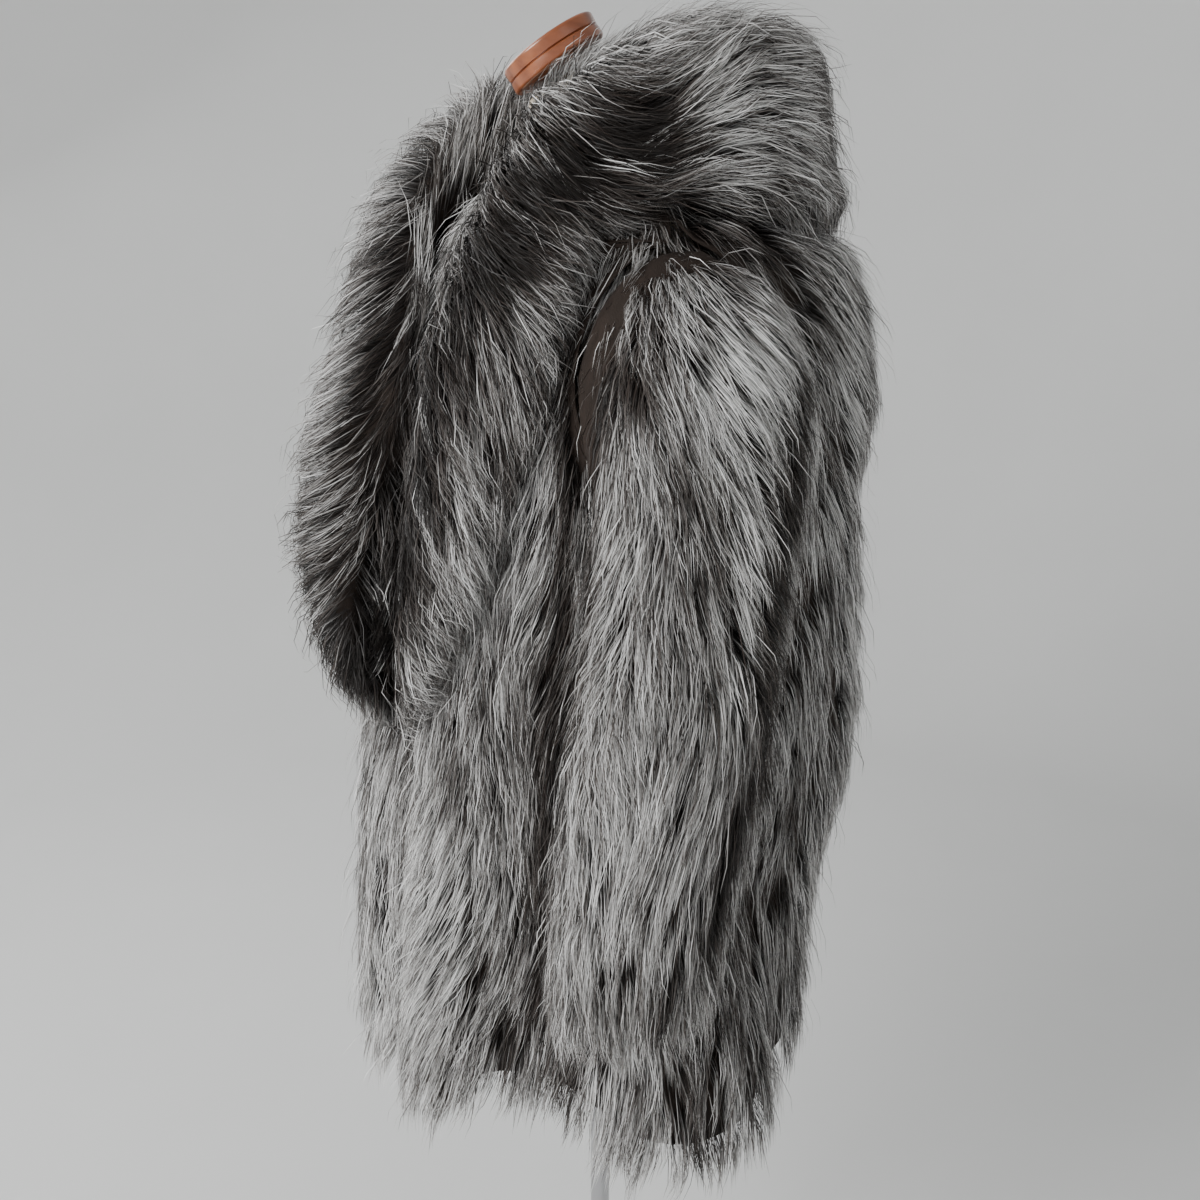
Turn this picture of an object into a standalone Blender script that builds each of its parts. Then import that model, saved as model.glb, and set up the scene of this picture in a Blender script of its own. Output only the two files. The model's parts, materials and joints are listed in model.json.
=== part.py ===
"""A fox fur half coat with a wide shawl collar, standing on a limbless dress form.

Metres, +Z up. The wearer faces -Y and the wearer's left is +X. The origin is on the floor,
on the axis of the pole. Each fur piece is a wall of its real reach: leather and laid pile.
An angle round the body is 0 at the centre front, 90 at the wearer's left and 180 at the back.
"""

from math import acos, cos, degrees, pi, radians, sin, sqrt

import bmesh
import bpy
from mathutils import Matrix, Vector

# Driving dimensions of the coat
FUR_WALL = 0.026
SEAM_GAP = 0.0004
LINING_WALL = 0.0015
HEM_HEIGHT = 0.575
NECKLINE_HEIGHT = 1.480
LINING_GAP = 0.0006
LINING_LEVELS = slice(1, 9)
BODY_SQUARENESS = 2.15
SIDE_SEAM = 90.0
CENTRE_FRONT = 4.0

# Armhole, an oval seen from the side
ARMHOLE_HEIGHT = 1.300
ARMHOLE_HALF_HEIGHT = 0.112
ARMHOLE_HALF_DEPTH = 0.086

# Dress form and stand
CAP_CENTRE = (-0.006, -0.041, 1.571)
CAP_RADIUS = 0.0440
CAP_HEIGHT = 0.022
CAP_DOME = 0.006
CAP_DOME_RINGS = 5
CAP_EDGE = 0.002
CAP_TILT = 33.0
CAP_TURN = -20.0
POLE_RADIUS = 0.0105
POLE_FOOT = 0.0125
POLE_TOP = 0.7895
BASE_RADIUS = 0.190
BASE_HEIGHT = 0.012
HUB_RADIUS = 0.026
HUB_HEIGHT = 0.045
HUB_BEVEL = 0.008
HUB_FLARE = 0.012
BASE_ROUND = 0.006

# Facets
FRONT_COLUMNS = 11
BACK_COLUMNS = 22
SLEEVE_SIDES = 16
FORM_SIDES = 28
ROUND_SIDES = 40
SHARP_ANGLE = 50.0

# Outer fur surface of the body: a row for each level
BODY = [
    dict(z=0.575, half_width=0.250, front=0.248, back=0.200),
    dict(z=0.640, half_width=0.242, front=0.246, back=0.211),
    dict(z=0.700, half_width=0.224, front=0.243, back=0.218),
    dict(z=0.765, half_width=0.196, front=0.240, back=0.226),
    dict(z=0.810, half_width=0.184, front=0.236, back=0.246),
    dict(z=0.870, half_width=0.183, front=0.230, back=0.276),
    dict(z=0.965, half_width=0.183, front=0.220, back=0.284),
    dict(z=1.070, half_width=0.183, front=0.203, back=0.276),
    dict(z=1.175, half_width=0.183, front=0.183, back=0.272),
    dict(z=1.250, half_width=0.185, front=0.170, back=0.286),
    dict(z=1.320, half_width=0.188, front=0.158, back=0.276),
    dict(z=1.370, half_width=0.190, front=0.147, back=0.256),
    dict(z=1.412, half_width=0.188, front=0.134, back=0.226),
    dict(z=1.432, half_width=0.168, front=0.122, back=0.192),
    dict(z=1.452, half_width=0.134, front=0.108, back=0.152),
    dict(z=1.468, half_width=0.104, front=0.092, back=0.120),
    dict(z=1.480, half_width=0.083, front=0.078, back=0.096),
]

# Levels where the body panels have a ring of points, as shares of the drop from neck to hem
BODY_LEVELS = [
    0.000, 0.033, 0.105, 0.175, 0.245, 0.330, 0.430, 0.540, 0.630, 0.675,
    0.683, 0.705, 0.750, 0.801, 0.852, 0.895, 0.917, 0.924, 0.947, 0.969, 0.987, 1.000,
]  # fmt: skip

# Vertical folds: depth is outward at the hem, the waist and the chest
FOLDS = [
    dict(at=4.0, spread=15.0, hem=-0.034, waist=-0.030, chest=-0.012),
    dict(at=-26.0, spread=30.0, hem=0.014, waist=0.034, chest=0.020),
    dict(at=52.0, spread=30.0, hem=-0.056, waist=-0.014, chest=0.0),
    dict(at=-52.0, spread=26.0, hem=-0.026, waist=-0.010, chest=0.0),
    dict(at=96.0, spread=24.0, hem=0.010, waist=0.0, chest=0.0),
    dict(at=128.0, spread=17.0, hem=-0.022, waist=-0.018, chest=0.0),
    dict(at=-126.0, spread=18.0, hem=-0.020, waist=-0.016, chest=0.0),
    dict(at=180.0, spread=20.0, hem=-0.010, waist=-0.012, chest=0.0),
]
FOLD_WAIST = 0.95
FOLD_CHEST = 1.30

# The hem rises a little between the fronts and the sides
HEM_LIFTS = [
    dict(at=48.0, spread=44.0, lift=0.044),
    dict(at=-40.0, spread=30.0, lift=0.014),
]

# Sleeve: the inner and outer ends of each ring, its half depth and its middle front to back
SLEEVE = [
    dict(in_x=0.191, in_z=1.163, out_x=0.234, out_z=1.404, half_depth=0.096, middle=0.002),
    dict(in_x=0.192, in_z=1.135, out_x=0.278, out_z=1.368, half_depth=0.099, middle=0.000),
    dict(in_x=0.192, in_z=1.100, out_x=0.303, out_z=1.300, half_depth=0.098, middle=-0.008),
    dict(in_x=0.192, in_z=1.050, out_x=0.315, out_z=1.200, half_depth=0.094, middle=-0.018),
    dict(in_x=0.192, in_z=0.985, out_x=0.319, out_z=1.080, half_depth=0.091, middle=-0.030),
    dict(in_x=0.193, in_z=0.915, out_x=0.319, out_z=0.960, half_depth=0.088, middle=-0.043),
    dict(in_x=0.196, in_z=0.845, out_x=0.316, out_z=0.860, half_depth=0.084, middle=-0.056),
    dict(in_x=0.206, in_z=0.768, out_x=0.311, out_z=0.768, half_depth=0.079, middle=-0.068),
]
SLEEVE_SWING = {1: 0.0, -1: 0.012}

# Collar: a row for each section from the centre back to its lower end. Inner and outer edges
# lie on the body at an angle and a level; heights stand out from it for each half.
COLLAR = [
    dict(inner=180, inner_z=1.479, outer=180, outer_z=1.420, rim=0.100, left=0.132, right=0.132, edge=0.034),
    dict(inner=150, inner_z=1.479, outer=152, outer_z=1.420, rim=0.100, left=0.132, right=0.130, edge=0.034),
    dict(inner=120, inner_z=1.479, outer=122, outer_z=1.424, rim=0.100, left=0.130, right=0.124, edge=0.032),
    dict(inner=92, inner_z=1.478, outer=92, outer_z=1.430, rim=0.100, left=0.124, right=0.118, edge=0.028),
    dict(inner=60, inner_z=1.472, outer=68, outer_z=1.420, rim=0.080, left=0.098, right=0.112, edge=0.026),
    dict(inner=34, inner_z=1.440, outer=62, outer_z=1.362, rim=0.046, left=0.060, right=0.088, edge=0.024),
    dict(inner=18, inner_z=1.390, outer=58, outer_z=1.300, rim=0.022, left=0.040, right=0.064, edge=0.022),
    dict(inner=9, inner_z=1.320, outer=48, outer_z=1.222, rim=0.018, left=0.038, right=0.066, edge=0.020),
    dict(inner=4, inner_z=1.235, outer=37, outer_z=1.150, rim=0.016, left=0.034, right=0.088, edge=0.018),
    dict(inner=1.5, inner_z=1.145, outer=28, outer_z=1.080, rim=0.014, left=0.028, right=0.096, edge=0.018),
    dict(inner=0.6, inner_z=1.055, outer=21, outer_z=1.020, rim=0.012, left=0.022, right=0.084, edge=0.016),
    dict(inner=0.6, inner_z=0.975, outer=9, outer_z=0.968, rim=0.008, left=0.012, right=0.034, edge=0.010),
]
COLLAR_STEPS = 2
COLLAR_ACROSS = 9
COLLAR_CROWN_AT = 0.42
COLLAR_UNDER_GAP = 0.007
COLLAR_SPREAD = 0.45
COLLAR_RISE = 0.25

# Dress form: half sizes, middle and forward lean of each section
TORSO = [
    dict(z=0.790, half_width=0.120, half_depth=0.088, middle=0.000, lean=0.0),
    dict(z=0.815, half_width=0.148, half_depth=0.108, middle=0.000, lean=0.0),
    dict(z=0.870, half_width=0.152, half_depth=0.118, middle=0.002, lean=0.0),
    dict(z=0.940, half_width=0.150, half_depth=0.114, middle=0.004, lean=0.0),
    dict(z=1.030, half_width=0.124, half_depth=0.092, middle=0.002, lean=0.0),
    dict(z=1.090, half_width=0.118, half_depth=0.088, middle=0.000, lean=0.0),
    dict(z=1.160, half_width=0.134, half_depth=0.104, middle=-0.006, lean=0.0),
    dict(z=1.240, half_width=0.148, half_depth=0.118, middle=-0.010, lean=0.0),
    dict(z=1.320, half_width=0.153, half_depth=0.100, middle=-0.002, lean=0.0),
    dict(z=1.370, half_width=0.154, half_depth=0.080, middle=0.008, lean=0.0),
    dict(z=1.398, half_width=0.138, half_depth=0.068, middle=0.012, lean=0.0),
    dict(z=1.418, half_width=0.104, half_depth=0.060, middle=0.012, lean=3.0),
    dict(z=1.436, half_width=0.068, half_depth=0.054, middle=0.008, lean=6.0),
    dict(z=1.470, half_width=0.048, half_depth=0.047, middle=-0.002, lean=14.0),
    dict(z=1.520, half_width=0.044, half_depth=0.044, middle=-0.020, lean=24.0),
    dict(z=1.553, half_width=0.040, half_depth=0.040, middle=-0.033, lean=33.0),
]
TORSO_RINGS_BETWEEN = 2


def column(rows, name, z):
    """The named column at a level, on a smooth curve through the rows."""
    levels = [row["z"] for row in rows]
    values = [row[name] for row in rows]
    if z <= levels[0]:
        return values[0]
    if z >= levels[-1]:
        return values[-1]
    i = max(k for k in range(len(levels) - 1) if levels[k] <= z)
    span = levels[i + 1] - levels[i]
    rise = (values[i + 1] - values[i]) / span

    def slope(k):
        if k == 0 or k == len(levels) - 1:
            return rise
        before = (values[k] - values[k - 1]) / (levels[k] - levels[k - 1])
        after = (values[k + 1] - values[k]) / (levels[k + 1] - levels[k])
        if before * after <= 0:
            return 0.0
        return 2 * before * after / (before + after)

    t = (z - levels[i]) / span
    hermite = (2 * t**3 - 3 * t**2 + 1) * values[i] + (3 * t**2 - 2 * t**3) * values[i + 1]
    return hermite + span * ((t**3 - 2 * t**2 + t) * slope(i) + (t**3 - t**2) * slope(i + 1))


def between(rows, steps):
    """The rows with blended rows added between each pair."""
    made = []
    for here, after in zip(rows, rows[1:]):
        for step in range(steps):
            share = step / steps
            made.append({name: here[name] * (1 - share) + after[name] * share for name in here})
    return made + [rows[-1]]


def turn_between(a, b):
    """The shorter way round from angle b to angle a, in degrees."""
    return (a - b + 180) % 360 - 180


def bump(angle, at, spread):
    """1 at the middle of a fold and 0 at its sides, without corners."""
    off = abs(turn_between(angle, at)) / spread
    return cos(off * pi / 2) ** 2 if off < 1 else 0.0


def fold_depth(fold, z):
    """How far a fold stands out at a level."""
    if z < FOLD_WAIST:
        share = (z - HEM_HEIGHT) / (FOLD_WAIST - HEM_HEIGHT)
        return fold["hem"] + (fold["waist"] - fold["hem"]) * share
    share = min((z - FOLD_WAIST) / (FOLD_CHEST - FOLD_WAIST), 1.0)
    depth = fold["waist"] + (fold["chest"] - fold["waist"]) * share
    fade = min(max((NECKLINE_HEIGHT - z) / (NECKLINE_HEIGHT - FOLD_CHEST), 0.0), 1.0)
    return depth * fade


def body_point(angle, z):
    """A point of the body's outer fur surface."""
    across = sin(radians(angle))
    ahead = cos(radians(angle))
    half_width = column(BODY, "half_width", z)
    half_depth = column(BODY, "front" if ahead > 0 else "back", z)
    p = BODY_SQUARENESS
    radius = (abs(across / half_width) ** p + abs(ahead / half_depth) ** p) ** (-1 / p)
    radius += sum(fold_depth(fold, z) * bump(angle, fold["at"], fold["spread"]) for fold in FOLDS)
    return Vector((radius * across, -radius * ahead, z))


def body_normal(angle, z):
    """The outward direction of the body's surface."""
    turn = 1.0
    rise = 0.004
    top = min(z + rise, NECKLINE_HEIGHT)
    low = max(z - rise, HEM_HEIGHT)
    around = body_point(angle + turn, z) - body_point(angle - turn, z)
    up = body_point(angle, top) - body_point(angle, low)
    return around.cross(up).normalized()


def hem_level(angle):
    """The lowest level of the fur at an angle."""
    return HEM_HEIGHT + sum(row["lift"] * bump(angle, row["at"], row["spread"]) for row in HEM_LIFTS)


def seam_turn(gap):
    """The angle that a gap takes at the side seam."""
    return degrees(gap / BODY[0]["half_width"])


def armhole_angle(z):
    """The angle from the side to the armhole's edge at a level, or 0 above and below it."""
    off = (z - ARMHOLE_HEIGHT) / ARMHOLE_HALF_HEIGHT
    if abs(off) >= 1:
        return 0.0
    reach = ARMHOLE_HALF_DEPTH * sqrt(1 - off * off)
    return 90 - degrees(acos(min(reach / column(BODY, "half_width", z), 1.0)))


def front_edge(z):
    """The outer angle of a front at a level: its side seam, its armhole or its shoulder seam."""
    return SIDE_SEAM - armhole_angle(z)


def back_edge(z):
    """The angle where the back starts at a level."""
    return SIDE_SEAM + armhole_angle(z)


def made_object(name, points, faces, finish, smooth=True):
    """One closed mesh with its material, in the part's collection."""
    mesh = bpy.data.meshes.new(name)
    mesh.from_pydata([tuple(p) for p in points], [], faces)
    tidy = bmesh.new()
    tidy.from_mesh(mesh)
    bmesh.ops.remove_doubles(tidy, verts=tidy.verts, dist=0.00001)
    bmesh.ops.recalc_face_normals(tidy, faces=tidy.faces)
    tidy.to_mesh(mesh)
    tidy.free()
    return placed(bpy.data.objects.new(name, mesh), finish, smooth)


def placed(thing, finish, smooth=True):
    """Puts an object in the part's collection with its material."""
    for holder in list(thing.users_collection):
        holder.objects.unlink(thing)
    COAT.objects.link(thing)
    thing.data.materials.append(finish)
    if smooth:
        thing.data.shade_smooth()
        thing.data.set_sharp_from_angle(angle=radians(SHARP_ANGLE))
    return thing


def wall(name, outer, inner, finish, closed=False):
    """A wall between two grids of points, which are alike; closed grids join round."""
    rows = len(outer)
    columns = len(outer[0])
    points = [p for row in outer for p in row] + [p for row in inner for p in row]
    shift = rows * columns

    def at(i, j):
        return i * columns + j % columns

    faces = []
    for i in range(rows - 1):
        for j in range(columns if closed else columns - 1):
            a, b, c, d = at(i, j), at(i, j + 1), at(i + 1, j + 1), at(i + 1, j)
            for facet in ([a, b, c], [a, c, d]):
                faces.append(facet)
                faces.append([k + shift for k in reversed(facet)])
    for i in (0, rows - 1):
        for j in range(columns if closed else columns - 1):
            faces.append([at(i, j), at(i, j + 1), at(i, j + 1) + shift, at(i, j) + shift])
    if not closed:
        for j in (0, columns - 1):
            for i in range(rows - 1):
                faces.append([at(i, j), at(i + 1, j), at(i + 1, j) + shift, at(i, j) + shift])
    return made_object(name, points, faces, finish)


def body_grids(start, end, columns, levels=slice(None), skin=0.0, depth=FUR_WALL):
    """Two grids of a body panel: skin is how far in from the fur surface the outer one lies."""
    outer = []
    inner = []
    for level in BODY_LEVELS[levels]:
        line_out = []
        line_in = []
        z = HEM_HEIGHT + (NECKLINE_HEIGHT - HEM_HEIGHT) * level
        for j in range(columns + 1):
            share = j / columns
            angle = start(z) * (1 - share) + end(z) * share
            low = hem_level(angle)
            lifted = low + (NECKLINE_HEIGHT - low) * level
            angle = start(lifted) * (1 - share) + end(lifted) * share
            point = body_point(angle, lifted)
            normal = body_normal(angle, lifted)
            line_out.append(point - normal * skin)
            line_in.append(point - normal * (skin + depth))
        outer.append(line_out)
        inner.append(line_in)
    return outer, inner


def left_front_grids(**options):
    """The left front, from the centre front to its side seam, armhole and shoulder seam."""
    gap = seam_turn(SEAM_GAP)

    def start(z):
        return CENTRE_FRONT + 2 * gap

    def end(z):
        return front_edge(z) - gap

    return body_grids(start, end, FRONT_COLUMNS, **options)


def right_front_grids(**options):
    """The right front, from its side seam, armhole and shoulder seam to the centre front."""
    gap = seam_turn(SEAM_GAP)

    def start(z):
        return 360 - front_edge(z) + gap

    def end(z):
        return 360 + CENTRE_FRONT - 2 * gap

    return body_grids(start, end, FRONT_COLUMNS, **options)


def back_grids(**options):
    """The back, from the left side seam round to the right one."""
    gap = seam_turn(SEAM_GAP)

    def start(z):
        return back_edge(z) + gap

    def end(z):
        return 360 - back_edge(z) - gap

    return body_grids(start, end, BACK_COLUMNS, **options)


def lining(name, finish):
    """The lining of the skirt, open at the centre front: the panels' points, moved in."""
    options = dict(levels=LINING_LEVELS, skin=FUR_WALL + LINING_GAP, depth=LINING_WALL)
    lefts = left_front_grids(**options)
    backs = back_grids(**options)
    rights = right_front_grids(**options)
    grids = [
        [left[1:] + middle + right[:-1] for left, middle, right in zip(*surfaces)]
        for surfaces in zip(lefts, backs, rights)
    ]
    return wall(name, *grids, finish)


def side_of_body(y, z):
    """How far the body's side stands out at a place seen from the side."""
    half_width = column(BODY, "half_width", z)
    half_depth = column(BODY, "front" if y < 0 else "back", z)
    p = BODY_SQUARENESS
    return half_width * (1 - min(abs(y) / half_depth, 1.0) ** p) ** (1 / p)


def sleeve(name, side, finish):
    """A sleeve from its armhole, out over the upper arm and down to its open cuff."""
    outer = []
    inner = []
    turns = [2 * pi * k / SLEEVE_SIDES for k in range(SLEEVE_SIDES)]
    first_out = []
    first_in = []
    for turn in turns:
        for made, shrink in ((first_out, 2 * SEAM_GAP), (first_in, FUR_WALL)):
            y = cos(turn) * (ARMHOLE_HALF_DEPTH - shrink)
            z = ARMHOLE_HEIGHT + sin(turn) * (ARMHOLE_HALF_HEIGHT - shrink)
            x = side_of_body(y, z) + SEAM_GAP
            made.append(Vector((side * x, y, z)))
    outer.append(first_out)
    inner.append(first_in)
    for row in between(SLEEVE, 2):
        inner_end = Vector((row["in_x"], 0, row["in_z"]))
        outer_end = Vector((row["out_x"], 0, row["out_z"]))
        half = (outer_end - inner_end) / 2
        centre = (outer_end + inner_end) / 2
        drop = ARMHOLE_HEIGHT - centre.z
        centre.y = row["middle"] + SLEEVE_SWING[side] * max(drop, 0)
        for made, shrink in ((outer, 0.0), (inner, FUR_WALL)):
            ring = []
            for turn in turns:
                reach = half * (1 - shrink / half.length) * sin(turn)
                ahead = Vector((0, (row["half_depth"] - shrink) * cos(turn), 0))
                point = centre + reach + ahead
                point.x *= side
                ring.append(point)
            made.append(ring)
    return wall(name, outer, inner, finish, closed=True)


def collar_height(row, side, share):
    """How far the collar stands out from the body across one section."""
    crown = row["left" if side > 0 else "right"]
    if share < COLLAR_CROWN_AT:
        rise = sin(share / COLLAR_CROWN_AT * pi / 2)
        return row["rim"] + (crown - row["rim"]) * rise
    fall = sin((share - COLLAR_CROWN_AT) / (1 - COLLAR_CROWN_AT) * pi / 2)
    return crown + (row["edge"] - crown) * (1 - cos(fall * pi / 2))


def collar_half(name, side, finish):
    """Half of the shawl collar, from the centre back round the neck to its lower end."""
    gap = seam_turn(SEAM_GAP)
    outer = []
    inner = []
    for index, row in enumerate(between(COLLAR, COLLAR_STEPS)):
        line_out = []
        line_in = []
        for j in range(COLLAR_ACROSS + 1):
            share = j / COLLAR_ACROSS
            around = row["inner"] * (1 - share) + row["outer"] * share
            if index == 0:
                around -= gap
            angle = side * around
            if around < 90:
                angle = side * max(around, 4 * gap) + CENTRE_FRONT * (1 - around / 90)
            z = row["inner_z"] * (1 - share) + row["outer_z"] * share
            base = body_point(angle, z)
            normal = body_normal(angle, z)
            upright = Vector((normal.x * COLLAR_SPREAD, normal.y * COLLAR_SPREAD, max(normal.z, COLLAR_RISE)))
            standing = (1 - share) * row["rim"] / COLLAR[0]["rim"]
            lifted = normal.lerp(upright.normalized(), standing)
            line_in.append(base + normal * COLLAR_UNDER_GAP)
            line_out.append(base + lifted.normalized() * collar_height(row, side, share))
        outer.append(line_out)
        inner.append(line_in)
    return wall(name, outer, inner, finish)


def torso(name, finish):
    """The limbless form: rings from its flat underside to the top of its neck."""
    points = []
    sides = FORM_SIDES
    levels = [
        a["z"] + (b["z"] - a["z"]) * k / TORSO_RINGS_BETWEEN
        for a, b in zip(TORSO, TORSO[1:])
        for k in range(TORSO_RINGS_BETWEEN)
    ]
    levels.append(TORSO[-1]["z"])
    for z in levels:
        half_width = column(TORSO, "half_width", z)
        half_depth = column(TORSO, "half_depth", z)
        lean = radians(column(TORSO, "lean", z))
        centre = Vector((0, column(TORSO, "middle", z), z))
        for k in range(sides):
            turn = 2 * pi * k / sides
            flat = Vector((half_width * cos(turn), half_depth * sin(turn), 0))
            points.append(centre + Matrix.Rotation(lean, 3, "X") @ flat)
    faces = [list(range(sides)), list(range(len(points) - sides, len(points)))]
    for i in range(len(levels) - 1):
        for k in range(sides):
            a = i * sides + k
            b = i * sides + (k + 1) % sides
            faces.append([a, b, b + sides, a + sides])
    return made_object(name, points, faces, finish)


def turned(name, profile, finish, sides=ROUND_SIDES):
    """A turned piece: profile runs from the axis at the top, down its outer side to the axis."""
    mesh = bpy.data.meshes.new(name)
    edges = [(i, i + 1) for i in range(len(profile) - 1)]
    mesh.from_pydata([(x, 0, z) for x, z in profile], edges, [])
    thing = bpy.data.objects.new(name, mesh)
    screw = thing.modifiers.new("turn", "SCREW")
    screw.steps = sides
    screw.render_steps = sides
    screw.use_merge_vertices = True
    screw.merge_threshold = 0.00001
    screw.use_smooth_shade = True
    placed(thing, finish, smooth=False)
    return thing


def neck_cap(name, finish):
    """The wooden cap, leaning forward with the neck."""
    top = CAP_HEIGHT / 2
    profile = [(0, top + CAP_DOME)]
    for k in range(1, CAP_DOME_RINGS + 1):
        x = (CAP_RADIUS - CAP_EDGE) * k / CAP_DOME_RINGS
        profile.append((x, top + CAP_DOME * sqrt(1 - (x / CAP_RADIUS) ** 2)))
    profile += [
        (CAP_RADIUS, top - CAP_EDGE / 2),
        (CAP_RADIUS, -top + CAP_EDGE),
        (CAP_RADIUS - CAP_EDGE, -top),
        (0, -top),
    ]
    cap = turned(name, profile, finish)
    cap.location = CAP_CENTRE
    cap.rotation_euler = (radians(CAP_TILT), 0, radians(CAP_TURN))
    return cap


def pole(name, finish):
    """The straight chrome tube between the base and the form."""
    height = POLE_TOP - POLE_FOOT
    bpy.ops.mesh.primitive_cylinder_add(
        vertices=ROUND_SIDES // 2,
        radius=POLE_RADIUS,
        depth=height,
        location=(0, 0, POLE_FOOT + height / 2),
    )
    tube = bpy.context.object
    tube.name = name
    return placed(tube, finish)


def base(name, finish):
    """The round foot, with a hub that stands round the pole."""
    clear = POLE_RADIUS + SEAM_GAP
    top = BASE_HEIGHT + HUB_HEIGHT
    profile = [
        (0, BASE_HEIGHT),
        (clear, BASE_HEIGHT),
        (clear, top),
        (HUB_RADIUS - HUB_BEVEL, top),
        (HUB_RADIUS, top - HUB_BEVEL),
        (HUB_RADIUS, BASE_HEIGHT + HUB_FLARE / 2),
        (HUB_RADIUS + HUB_FLARE, BASE_HEIGHT),
        (BASE_RADIUS - BASE_ROUND, BASE_HEIGHT - BASE_ROUND / 3),
        (BASE_RADIUS, BASE_HEIGHT - BASE_ROUND),
        (BASE_RADIUS, 0),
        (0, 0),
    ]
    return turned(name, profile, finish)


def material(name, colour, roughness, metallic=0.0):
    """A plain finish."""
    made = bpy.data.materials.new(name)
    made.use_nodes = True
    shader = made.node_tree.nodes["Principled BSDF"]
    shader.inputs["Base Color"].default_value = (*colour, 1)
    shader.inputs["Roughness"].default_value = roughness
    shader.inputs["Metallic"].default_value = metallic
    return made


for old in list(bpy.data.objects):
    bpy.data.objects.remove(old)
COAT = bpy.data.collections.new("fur_coat_on_form")
bpy.context.scene.collection.children.link(COAT)

FUR = material("fox_fur", (0.23, 0.22, 0.21), 0.75)
COLLAR_FUR = material("collar_fur", (0.16, 0.15, 0.145), 0.75)
LINING = material("lining", (0.03, 0.025, 0.025), 0.6)
FORM_CLOTH = material("form_cloth", (0.62, 0.57, 0.48), 0.85)
WOOD = material("varnished_wood", (0.32, 0.11, 0.04), 0.28)
CHROME = material("chrome", (0.72, 0.72, 0.72), 0.12, 1.0)

wall("left_front", *left_front_grids(), FUR)
wall("right_front", *right_front_grids(), FUR)
wall("back", *back_grids(), FUR)
sleeve("left_sleeve", 1, FUR)
sleeve("right_sleeve", -1, FUR)
collar_half("left_collar", 1, COLLAR_FUR)
collar_half("right_collar", -1, COLLAR_FUR)
lining("body_lining", LINING)
torso("form_torso", FORM_CLOTH)
neck_cap("neck_cap", WOOD)
pole("pole", CHROME)
base("base", CHROME)
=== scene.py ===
"""A silver fox half coat with a very wide shawl collar, on a limbless dress form.

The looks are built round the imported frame. Each fur piece is a thin leather skin that carries
a pile of tapered strands, laid in locks along the way the fur runs. Under them hangs a satin
lining. The form has a cloth cover, a turned wooden cap and a chrome stand.
"""

from __future__ import annotations

import json
import logging
import math
from collections.abc import Sequence
from dataclasses import dataclass, field, replace
from enum import Enum
from typing import Any

import bmesh
import bpy
import numpy as np
from mathutils import Matrix, Vector
from mathutils.bvhtree import BVHTree

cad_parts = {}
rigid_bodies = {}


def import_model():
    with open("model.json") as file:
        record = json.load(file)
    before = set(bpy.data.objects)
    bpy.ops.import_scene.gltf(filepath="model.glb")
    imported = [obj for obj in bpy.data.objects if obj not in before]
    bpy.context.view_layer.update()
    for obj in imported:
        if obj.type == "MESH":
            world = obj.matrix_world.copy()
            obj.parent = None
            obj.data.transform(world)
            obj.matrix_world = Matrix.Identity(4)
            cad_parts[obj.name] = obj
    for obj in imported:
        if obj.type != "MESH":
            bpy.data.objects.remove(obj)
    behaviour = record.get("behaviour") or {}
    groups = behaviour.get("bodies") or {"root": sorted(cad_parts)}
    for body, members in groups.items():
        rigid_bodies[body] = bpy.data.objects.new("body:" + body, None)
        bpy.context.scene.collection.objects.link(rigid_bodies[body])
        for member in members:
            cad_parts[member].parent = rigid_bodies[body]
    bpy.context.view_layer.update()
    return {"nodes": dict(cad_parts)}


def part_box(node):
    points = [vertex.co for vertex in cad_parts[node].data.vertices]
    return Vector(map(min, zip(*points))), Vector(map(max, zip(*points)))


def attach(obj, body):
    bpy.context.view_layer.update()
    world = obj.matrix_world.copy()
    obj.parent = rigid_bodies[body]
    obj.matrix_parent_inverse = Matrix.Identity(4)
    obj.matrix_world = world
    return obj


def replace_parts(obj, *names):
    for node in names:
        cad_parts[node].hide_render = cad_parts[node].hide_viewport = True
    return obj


LOG = logging.getLogger("fur_coat")
WHOLE = "root"
STRAND_MAP = "OFBake"
WELD = 0.00002
SIDES = 96
FLOOR_GAP = 0.0005
UP = np.array((0.0, 0.0, 1.0))

Array = np.ndarray
Mesh = bpy.types.Mesh
Colour = tuple[float, float, float]
Point = tuple[float, float, float]


# ---- materials


class Wire:
    """A socket of a material that takes part in Python arithmetic."""

    def __init__(self, bench: Bench, socket: bpy.types.NodeSocket) -> None:
        """Keeps the socket and the bench that its nodes are added on."""
        self.bench = bench
        self.socket = socket

    def _with(self, operation: str, first: Any, second: Any) -> Wire:
        """The result of a Math node for two values or links."""
        return self.bench.node("ShaderNodeMath", {"operation": operation}, {0: first, 1: second})

    def __add__(self, other: Any) -> Wire:
        """self + other."""
        return self._with("ADD", self, other)

    def __mul__(self, other: Any) -> Wire:
        """self * other."""
        return self._with("MULTIPLY", self, other)

    def between(self, low: float, high: float) -> Wire:
        """0 below low, 1 above high and smooth in between."""
        sockets = {"Value": self, "From Min": low, "From Max": high}
        return self.bench.node("ShaderNodeMapRange", {"interpolation_type": "SMOOTHSTEP"}, sockets)


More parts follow.
